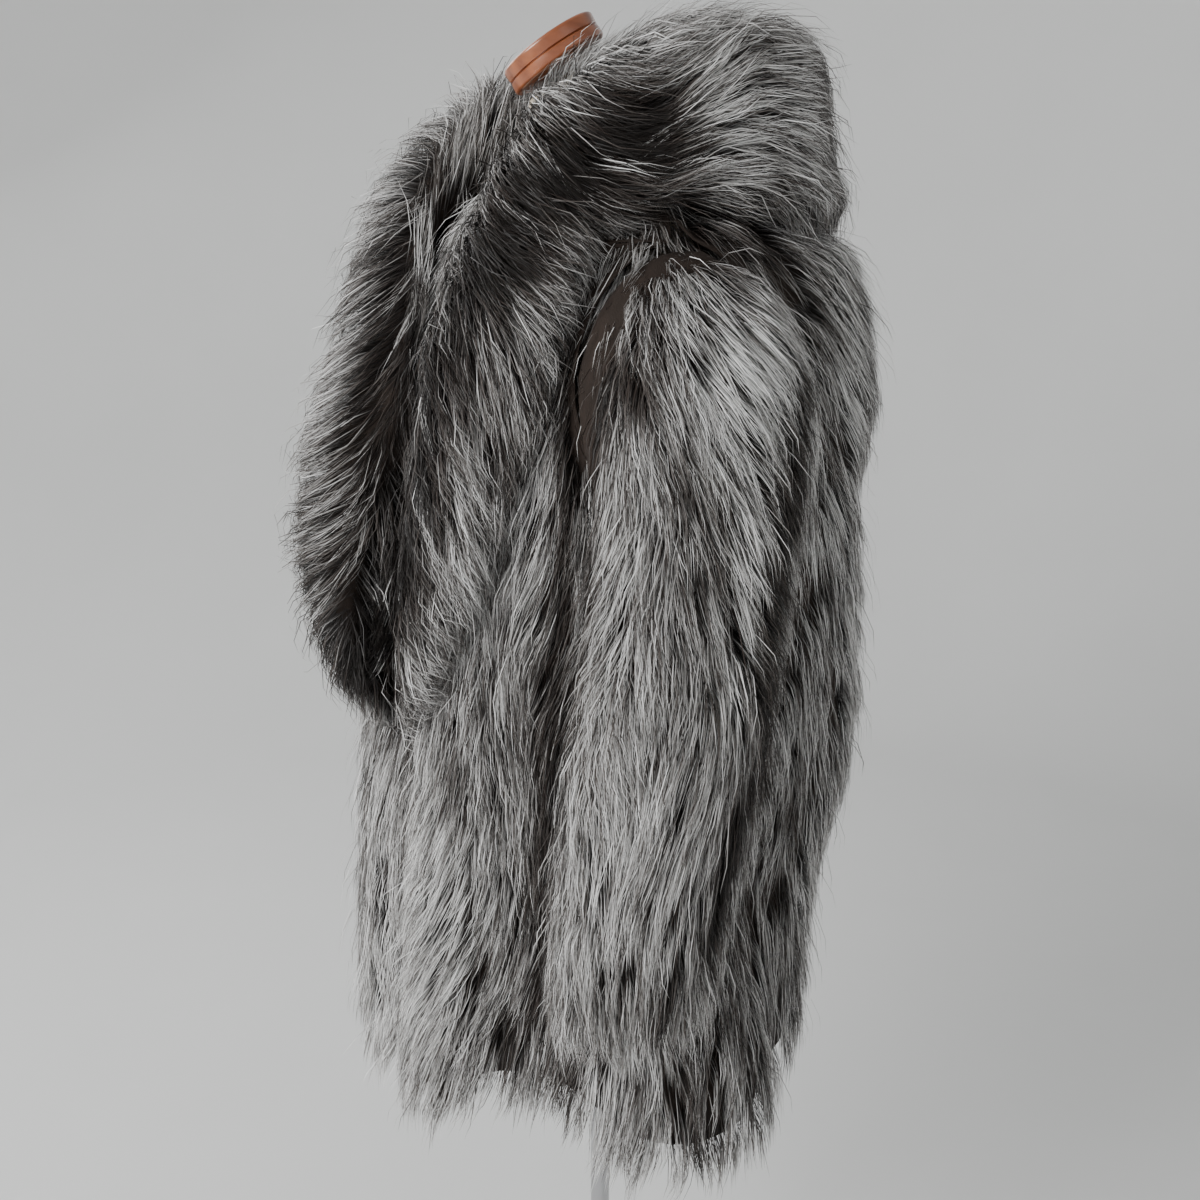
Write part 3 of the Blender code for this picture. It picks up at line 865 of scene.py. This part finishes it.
@dataclass
class Pelt:
    """One cut and sewn piece of the coat: its leather and its pile."""

    node: str
    lay: Lay
    side: Side
    slot: str
    flat: tuple[float, float]
    seed: int
    pile: Pile
    surface: Surface = field(init=False)
    cover: Coverage = field(init=False)

    SEAM_REACH = 0.028
    SEAM_SIDE = 0.202
    SEAM_DEPTH = 0.05
    SLEEVE_SEAM_LOW = 1.15
    BODY_SEAM_LOW = 1.17
    BODY_SEAM_SIDE = 0.135

    def _from_armhole(self, points: Array, work: bmesh.types.BMesh) -> Array:
        """How far points of the leather are from the seam between body and sleeve, in metres."""
        if self.lay is Lay.SLEEVE:
            aside = np.abs(points[:, 0]) - self.SEAM_SIDE
            return np.where(points[:, 2] > self.SLEEVE_SEAM_LOW, aside, np.inf)
        edge = [v.co for v in work.verts if v.is_boundary and v.co.z > self.BODY_SEAM_LOW]
        edge = [co[:] for co in edge if abs(co.x) > self.BODY_SEAM_SIDE]
        if self.lay is Lay.COLLAR or not edge:
            return np.full(len(points), np.inf)
        return np.linalg.norm(points[:, None] - np.array(edge)[None], axis=2).min(axis=1)

    def take_form(self, node: Any, body: BVHTree | None) -> None:
        """Takes the piece's form from its CAD wall."""
        self.surface = Surface.of_node(node, self.lay, body)
        self.cover = Coverage(self.lay, self.side, self.seed)

    def sew(self, ground: BVHTree | None, leather: Any, hair: Any, edge: float) -> None:
        """Args:
            ground: the surface that the hair lies along, or None for the pelt's own.
            leather: the leather's material.
            hair: the hair's material.
            edge: how far the hair hangs below the leather, in metres.
        """
        fine = self.surface.finer(2)
        own = arrays_of(fine)
        tree = ground or BVHTree.FromPolygons(own[0].tolist(), own[2].tolist())
        skin = self._leather(leather, edge)
        fur = self._fur(own, tree, hair, edge)
        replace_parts(skin, self.node)

    def _leather(self, finish: Any, edge: float) -> Any:
        """The leather: a thin sheet under the pile."""
        mesh = self.surface.finer(1)
        points, normals, _ = arrays_of(mesh)
        high = self.surface.above_hem(points)
        work = bmesh.new()
        work.from_mesh(mesh)
        work.verts.ensure_lookup_table()
        depth = np.full(len(points), self.pile.depth)
        apart = self._from_armhole(points, work)
        depth *= np.clip(apart / self.SEAM_REACH, self.SEAM_DEPTH, 1.0)
        for vertex, normal, deep in zip(work.verts, normals, depth):
            vertex.co -= Vector(normal) * deep
        gone = [f for f in work.faces if max(high[v.index] for v in f.verts) < edge + 0.004]
        bmesh.ops.delete(work, geom=gone, context="FACES")
        work.to_mesh(mesh)
        work.free()
        mesh = with_modifiers(mesh, ("SOLIDIFY", {"thickness": 0.0012, "offset": -1.0}))
        return made_piece(self.node + "_leather", mesh, finish)

    def _roots(self, own: tuple, count: int, edge: float, rng: Any) -> tuple[Array, Array]:
        """Places spread evenly over the pelt, and their normals."""
        points, normals, corners = own
        a, b, c = (points[corners[:, k]] for k in range(3))
        areas = np.linalg.norm(np.cross(b - a, c - a), axis=1)
        areas[self.surface.above_hem((a + b + c) / 3) < edge] = 0.0
        chosen = np.sort(rng.choice(len(corners), count, p=areas / areas.sum()))
        u, v = rng.random(count), rng.random(count)
        over = u + v > 1
        u[over], v[over] = 1 - u[over], 1 - v[over]
        shares = np.stack((1 - u - v, u, v), axis=1)[:, :, None]
        at = (points[corners[chosen]] * shares).sum(axis=1)
        return at, unit((normals[corners[chosen]] * shares).sum(axis=1))

    def _guides(
        self, at: Array, normals: Array, lengths: Array, turn: Array, tree: BVHTree
    ) -> tuple[Array, Array, Array]:
        """The line that each lock follows along the surface.

        Args:
            at: the locks' roots.
            normals: the surface's direction there.
            lengths: the locks' lengths.
            turn: how far each lock's way is turned from the pelt's, in radians.
            tree: the surface that they lie along.

        Returns:
            The lines' points, the normals there and the ways along them.
        """
        lines, facings, ways = [at], [normals], []
        for _ in range(self.pile.steps):
            way = self.cover.way(lines[-1], facings[-1])
            across = np.cross(facings[-1], way)
            way = way * np.cos(turn)[:, None] + across * np.sin(turn)[:, None]
            ahead = lines[-1] + way * (lengths / self.pile.steps)[:, None]
            found = [tree.find_nearest(Vector(p)) for p in ahead]
            near = np.array([f[0] for f in found])
            facing = unit(facings[-1] * 0.4 + np.array([f[1] for f in found]) * 0.6)
            lifted = np.einsum("ij,ij->i", ahead - near, facing)[:, None]
            lines.append(ahead - facing * lifted)
            facings.append(facing)
            ways.append(way)
        ways.append(ways[-1])
        return tuple(np.stack(rows, axis=1) for rows in (lines, facings, ways))

    def _parted(self, lines: Array) -> Array:
        """Whether each lock crosses a place where the fur is parted."""
        found = np.zeros(len(lines), dtype=bool)
        if self.side is Side.RIGHT:
            return found
        for centre, reach in PARTINGS:
            apart = np.linalg.norm((lines - centre) / reach, axis=2)
            found |= apart.min(axis=1) < 1.0
        return found

    def _fur(self, own: tuple, tree: BVHTree, finish: Any, edge: float) -> Any:
        """All the pelt's strands, as one mesh of tapered blades."""
        pile = self.pile
        rng = np.random.default_rng(self.seed)
        strands = pile.strands // 1
        locks = strands // pile.lock_strands
        at, normals = self._roots(own, locks, edge, rng)
        lengths = pile.length * rng.uniform(*pile.LENGTHS, locks)
        room = self.surface.above_hem(at) + rng.uniform(*pile.HEM_ROOM, locks)
        lengths = np.minimum(lengths, np.maximum(room * 1.05, pile.SHORTEST))
        turn = rng.normal(0, 0.06, locks)
        lines, facings, ways = self._guides(at, normals, lengths, turn, tree)

        lock = np.repeat(np.arange(locks), pile.lock_strands)
        count = len(lock)
        spread = rng.normal(0, pile.SCATTER, count).clip(-pile.WIDEST, pile.WIDEST)
        shift = rng.normal(0, pile.SCATTER, count).clip(-pile.WIDEST, pile.WIDEST)
        shift = shift * pile.lock_width
        share = rng.uniform(*pile.ENDS, count)
        stray = rng.random(count) < pile.stray_share
        seen = lines[:, 3]
        lift = rng.normal(pile.lift, pile.LIFT_SPREAD, locks)
        lift = (lift + pile.fold * self.cover.relief(seen))[lock]
        lift = lift + rng.normal(0, pile.LIFT_SPREAD, count) - pile.EDGE_DROP * spread**2
        lift += stray * rng.uniform(*pile.STRAY_LIFT, count)
        phase = (2.6 * self.cover.relief(seen + 0.3) + rng.normal(0, 0.35, locks))[lock]
        curl = pile.curl * rng.uniform(0.7, 1.3, locks)[lock]
        hook = rng.normal(0, pile.hook, count) * (1 + 3.0 * stray)
        clump = np.where(stray, pile.STRAY_CLUMPING, pile.clumping)
        twist = rng.uniform(-pile.TWIST, pile.TWIST, count)

        centres, blades = [], []
        for station, half in zip(STATIONS, (*pile.half_widths, 0.0)):
            t = station * share
            step = np.minimum((t * pile.steps).astype(int), pile.steps - 1)
            part = (t * pile.steps - step)[:, None]
            line = lines[lock, step] * (1 - part) + lines[lock, step + 1] * part
            facing = unit(facings[lock, step] * (1 - part) + facings[lock, step + 1] * part)
            way = unit(ways[lock, step] * (1 - part) + ways[lock, step + 1] * part)
            across = np.cross(facing, way)
            rise = (1 - (1 - station) ** 2) ** pile.FULLNESS
            height = -pile.depth + (pile.depth + lift) * rise
            wave = curl * np.sin(phase + station * pile.WAVES) * station
            gather = 1 - clump * station**pile.FULLNESS
            sideways = spread * pile.lock_width * gather + wave + hook * station**2
            centre = line + facing * height[:, None] + across * sideways[:, None]
            centres.append(centre + way * shift[:, None])
            blade = across * np.cos(twist)[:, None] + facing * np.sin(twist)[:, None]
            blades.append(blade * half)

        kind = rng.random(count)
        strand_tone_and_lock_shade = rng.normal(0, 0.045, locks)[lock] + rng.normal(0, 0.09, count)
        # Strands towards the sides of a lock are a little darker: painted shade in the gaps
        # between locks. The rest is each strand's own tone.
        strand_tone_and_lock_shade = strand_tone_and_lock_shade - 0.05 * np.abs(spread)
        strand_tone_and_lock_shade += np.where(kind < pile.dark_share, pile.DARK_BY, 0.0)
        strand_tone_and_lock_shade += np.where(kind > 1 - pile.pale_share, pile.pale_by, 0.0)
        along = np.stack([self.cover.tone(lines[:, k]) for k in (1, 2, 3, 4)], axis=1)
        silver = rng.random(locks) < pile.silver_locks
        along[silver] = np.maximum(along[silver], pile.SILVER)
        tones = (along[lock] + strand_tone_and_lock_shade[:, None]).clip(0.02, 0.98)
        kept = ~(self._parted(lines[:, 2:])[lock] & (rng.random(count) < pile.PARTED_SHARE))
        centres, blades = [c[kept] for c in centres], [b[kept] for b in blades]
        mesh = strand_mesh(self.node + "_fur", centres, blades, tones[kept])
        return made_piece(self.node + "_fur", mesh, finish)


STATIONS = (0.0, 0.36, 0.70, 1.0)
CORNERS = np.array((0, 1, 3, 2, 2, 3, 5, 4, 4, 5, 6))
CORNER_STATIONS = np.array((0, 0, 1, 1, 1, 1, 2, 2, 2, 2, 3))
CORNER_SIDES = np.array((-1.0, 1.0, 1.0, -1.0, -1.0, 1.0, 1.0, -1.0, -1.0, 1.0, 0.0))
FACE_STARTS = np.array((0, 4, 8))
MAP_HALF_WIDTH = 0.003


def strand_mesh(
    name: str, centres: list[Array], blades: list[Array], tones: Array
) -> Mesh:
    """A mesh of tapered blades with a map of their tone and their length.

    Args:
        name: the mesh's name.
        centres: for each station along the strands, their middles.
        blades: for each station, the vector from the middle to the edge.
        tones: a tone for each station of each strand.

    Returns:
        The mesh: two quads and a tip for each strand.
    """
    count = len(tones)
    rows = []
    for centre, blade in zip(centres[:-1], blades[:-1]):
        rows += [centre - blade, centre + blade]
    rows.append(centres[-1])
    points = np.stack(rows, axis=1).reshape(-1, 3)
    sides, turns, faces = len(rows), len(CORNERS), len(FACE_STARTS)
    mesh = bpy.data.meshes.new(name)
    mesh.vertices.add(len(points))
    mesh.vertices.foreach_set("co", points.ravel())
    mesh.loops.add(count * turns)
    corners = (np.arange(count)[:, None] * sides + CORNERS).ravel()
    mesh.loops.foreach_set("vertex_index", corners)
    mesh.polygons.add(count * faces)
    starts = (np.arange(count)[:, None] * turns + FACE_STARTS).ravel()
    mesh.polygons.foreach_set("loop_start", starts)
    mesh.update(calc_edges=True)
    layer = mesh.uv_layers.new(name=STRAND_MAP)
    tone = tones[:, CORNER_STATIONS] + CORNER_SIDES * MAP_HALF_WIDTH
    along = np.broadcast_to(np.array(STATIONS)[CORNER_STATIONS], tone.shape)
    where = np.stack((tone, along), axis=2)
    layer.uv.foreach_set("vector", where.astype(np.float32).ravel())
    return mesh


@dataclass
class Coat:
    """The coat: its pelts and its lining."""

    overhang: float = 0.036
    cuff_overhang: float = 0.034
    pelts: list[Pelt] = field(default_factory=list)

    HEAD_FROM = 1.29
    HEAD_FACING = 0.4

    def cut(self) -> None:
        """Lists the pieces that are cut."""
        loose = Pile(23500, 0.078, lock_strands=10, clumping=0.75, curl=0.005, hook=0.003)
        loose = replace(loose, lift=0.003, pale_share=0.10, pale_by=0.30, stray_share=0.06)
        loose.silver_locks = 0.04
        far = replace(loose, strands=21500, length=0.084, lift=0.009, stray_share=0.10)
        self.pelts = [
            Pelt("left_front", Lay.BODY, Side.LEFT, "fox_fur", (0.27, 0.86), 11, Pile(25500)),
            Pelt("right_front", Lay.BODY, Side.RIGHT, "fox_fur", (0.34, 0.86), 12, Pile(22500)),
            Pelt("back", Lay.BODY, Side.BOTH, "fox_fur", (0.74, 0.86), 13, Pile(37000)),
            Pelt("left_sleeve", Lay.SLEEVE, Side.LEFT, "fox_fur", (0.38, 0.59), 14, Pile(33500)),
            Pelt("right_sleeve", Lay.SLEEVE, Side.RIGHT, "fox_fur", (0.38, 0.59), 15, Pile(20000)),
            Pelt("left_collar", Lay.COLLAR, Side.LEFT, "collar_fur", (0.19, 0.84), 16, loose),
            Pelt("right_collar", Lay.COLLAR, Side.RIGHT, "collar_fur", (0.25, 0.84), 17, far),
        ]

    def make(self, nodes: dict[str, Any]) -> None:
        """Builds every piece of the coat from the CAD nodes."""
        leather = SkinFinish().make()
        hair = FurFinish().make()
        panels = [p for p in self.pelts if p.lay is Lay.BODY]
        for pelt in panels:
            pelt.take_form(nodes[pelt.node], None)
        body = self._joined([arrays_of(p.surface.finer(2)) for p in panels])
        for pelt in self.pelts:
            if pelt.lay is not Lay.BODY:
                pelt.take_form(nodes[pelt.node], body)
        heads = [self._head(p.surface) for p in self.pelts if p.lay is Lay.SLEEVE]
        under = self._joined([arrays_of(p.surface.finer(2)) for p in panels] + heads)
        for pelt in self.pelts:
            ground = under if pelt.lay is Lay.BODY else None
            edge = self.cuff_overhang if pelt.lay is Lay.SLEEVE else self.overhang
            pelt.sew(ground, leather, hair, edge)
        self._lining(nodes["body_lining"])

    @staticmethod
    def _head(surface: Surface) -> tuple:
        """The outer side of the top of a sleeve, which the shoulder's fur falls over."""
        points, normals, corners = arrays_of(surface.finer(2))
        middle = points[corners].mean(axis=1)
        facing = normals[corners].mean(axis=1)
        faced = facing[:, 0] * np.sign(middle[:, 0]) + facing[:, 2] > Coat.HEAD_FACING
        return points, normals, corners[(middle[:, 2] > Coat.HEAD_FROM) & faced]

    @staticmethod
    def _joined(parts: list[tuple]) -> BVHTree:
        """One search tree for several surfaces."""
        points, corners = [], []
        for part in parts:
            corners += (part[2] + len(points)).tolist()
            points += part[0].tolist()
        return BVHTree.FromPolygons(points, corners)

    def _lining(self, node: Any) -> None:
        """The satin lining, with soft upright creases."""
        mesh = Surface.of_node(node, Lay.BODY, None).finer(1)
        points, normals, _ = arrays_of(mesh)
        crease = (drift(points, 31, 0.03, 0.15)[:, None] + 1).clip(0, 2)
        moved = points - normals * (0.0006 + 0.0012 * crease)
        mesh.vertices.foreach_set("co", moved.ravel())
        mesh = with_modifiers(mesh, ("SOLIDIFY", {"thickness": 0.0006, "offset": 0.0}))
        lining = made_piece("lining", mesh, SatinFinish().make())
        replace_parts(lining, "body_lining")


# ---- the form


@dataclass
class DressForm:
    """The limbless form: cover, cap, pole and base."""

    cap_at: Point = (-0.006, -0.041, 1.571)
    cap_radius: float = 0.046
    cap_height: float = 0.022
    cap_tilt: float = 33.0
    cap_turn: float = -20.0

    def make(self, nodes: dict[str, Any]) -> None:
        """Builds the form's pieces from the CAD nodes."""
        self._cover(nodes["form_torso"])
        self._cap()
        self._stand()

    def _cover(self, node: Any) -> None:
        """The cotton cover, with its edges softened."""
        work = bmesh.new()
        work.from_mesh(node.data)
        bmesh.ops.remove_doubles(work, verts=work.verts, dist=WELD)
        bmesh.ops.dissolve_limit(work, angle_limit=0.002, verts=work.verts, edges=work.edges)
        mesh = bpy.data.meshes.new("cover")
        work.to_mesh(mesh)
        work.free()
        rounded = {"width": 0.006, "segments": 3, "limit_method": "ANGLE"}
        smooth = {"levels": 1, "render_levels": 1}
        mesh = with_modifiers(mesh, ("BEVEL", rounded), ("SUBSURF", smooth))
        cover = made_piece("form_cover", mesh, CanvasFinish().make())
        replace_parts(cover, "form_torso")

    @staticmethod
    def _turned(
        name: str, profile: Sequence[tuple[float, float]], finish: Any, slot: str
    ) -> bpy.types.Object:
        """A turned piece with crisp edges."""
        piece = made_piece(name, turned(name, profile, merge_threshold=0.00001), finish)
        piece.data.set_sharp_from_angle(angle=math.radians(40))
        return piece

    @staticmethod
    def _rounded(x: float, z: float, radius: float, start: float) -> list[tuple[float, float]]:
        """A quarter round of a profile about a centre, from an angle in degrees, turning down."""
        turns = [math.radians(start - 15 * k) for k in range(7)]
        return [(x + radius * math.cos(a), z + radius * math.sin(a)) for a in turns]

    def _cap(self) -> None:
        """The turned cap, leaning forward on the neck."""
        half, wide = self.cap_height / 2, self.cap_radius
        dome = [
            (wide * 0.92 * k / 8, half + 0.006 * math.cos(math.pi / 2 * 0.92 * k / 8))
            for k in range(9)
        ]
        profile = [
            *dome,
            *self._rounded(wide - 0.003, half - 0.002, 0.003, 90),
            (wide - 0.0006, 0.001),
            (wide - 0.0022, 0.0),
            (wide - 0.0006, -0.001),
            *self._rounded(wide - 0.003, -half + 0.003, 0.003, 0),
            (0.0, -half),
        ]
        cap = self._turned("wooden_cap", profile, VarnishFinish().make(), "varnished_wood")
        tilt = Matrix.Rotation(math.radians(self.cap_turn), 4, "Z") @ Matrix.Rotation(
            math.radians(self.cap_tilt), 4, "X"
        )
        cap.data.transform(Matrix.Translation(self.cap_at) @ tilt)
        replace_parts(cap, "neck_cap")

    def _stand(self) -> None:
        """The chrome pole and its round base."""
        chrome = ChromeFinish().make()
        low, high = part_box("pole")
        radius = high.x
        pole = [(0.0, high.z), (radius, high.z), (radius, low.z), (0.0, low.z)]
        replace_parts(self._turned("chrome_pole", pole, chrome, "chrome"), "pole")
        _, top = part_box("base")
        wide, plate, hub = top.x, 0.012, 0.026
        base = [
            (0.0, plate),
            (radius + 0.0004, plate),
            (radius + 0.0004, top.z),
            *self._rounded(hub - 0.006, top.z - 0.006, 0.006, 90),
            (hub, plate + 0.010),
            (hub + 0.004, plate + 0.003),
            (hub + 0.012, plate),
            *self._rounded(wide - 0.006, plate - 0.006, 0.006, 90),
            (wide, 0.0),
            (0.0, 0.0),
        ]
        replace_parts(self._turned("chrome_base", base, chrome, "chrome"), "base")


# ---- the studio


@dataclass
class Studio:
    """Floor and wall, lights and camera."""

    turn: float = 70.0
    distance: float = 1.2
    height: float = 1.40
    pitch: float = 15.4
    lens: float = 37.5
    wall: float = 3.2

    def make(self) -> None:
        """Sets up the studio."""
        self._backdrop()
        self._lights()
        self._camera()

    def _backdrop(self) -> None:
        """A pale floor that curves up into a wall all round."""
        bend, top = 0.9, 3.4
        turns = [math.pi / 2 * k / 12 for k in range(1, 13)]
        curve = [
            (self.wall - bend + bend * math.sin(a), bend - bend * math.cos(a)) for a in turns
        ]
        profile = [(0.0, 0.0), (self.wall - bend, 0.0), *curve, (self.wall, top)]
        mesh = turned("backdrop", [(x, z - FLOOR_GAP) for x, z in profile])
        backdrop = placed("backdrop", mesh)
        mesh.materials.append(StudioFinish().make())
        mesh.shade_smooth()

    def _lights(self) -> None:
        """A large soft light from the front, one from the back and an even sky."""
        world = bpy.data.worlds.new("sky")
        world.use_nodes = True
        sky = world.node_tree.nodes["Background"]
        sky.inputs["Color"].default_value = (1.0, 1.0, 1.0, 1.0)
        sky.inputs["Strength"].default_value = 0.36
        bpy.context.scene.world = world
        self._lamp("window", (0.9, -2.4, 2.2), 1.3, 88.0)
        self._lamp("room", (2.4, 1.2, 2.3), 1.8, 5.0)
        self._lamp("far_side", (-2.0, -1.3, 2.6), 1.8, 44.0)

    @staticmethod
    def _lamp(name: str, at: Point, size: float, power: float) -> None:
        """One soft square light, aimed at the coat."""
        data = bpy.data.lights.new(name, "AREA")
        data.size = size
        data.energy = power
        lamp = placed(name, data)
        lamp.location = at
        aim = Vector((0.0, 0.0, 1.05)) - Vector(at)
        lamp.rotation_euler = aim.to_track_quat("-Z", "Y").to_euler()

    def _camera(self) -> None:
        """The camera, close to the coat and looking a little down at it."""
        data = bpy.data.cameras.new("camera")
        data.lens = self.lens
        data.sensor_width = 36.0
        camera = placed("camera", data)
        turn = math.radians(self.turn)
        out = self.distance * math.sin(turn), -self.distance * math.cos(turn)
        camera.location = (*out, self.height)
        camera.rotation_euler = (math.radians(90 - self.pitch), 0.0, turn)
        bpy.context.scene.camera = camera


def main() -> None:
    """Builds the coat, the form and the studio, and reports each piece."""
    logging.basicConfig(level=logging.INFO, format="%(message)s")
    for old in list(bpy.data.objects):
        bpy.data.objects.remove(old)
    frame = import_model()
    coat = Coat()
    coat.cut()
    coat.make(frame["nodes"])
    DressForm().make(frame["nodes"])
    Studio().make()


if __name__ == "__main__":
    main()
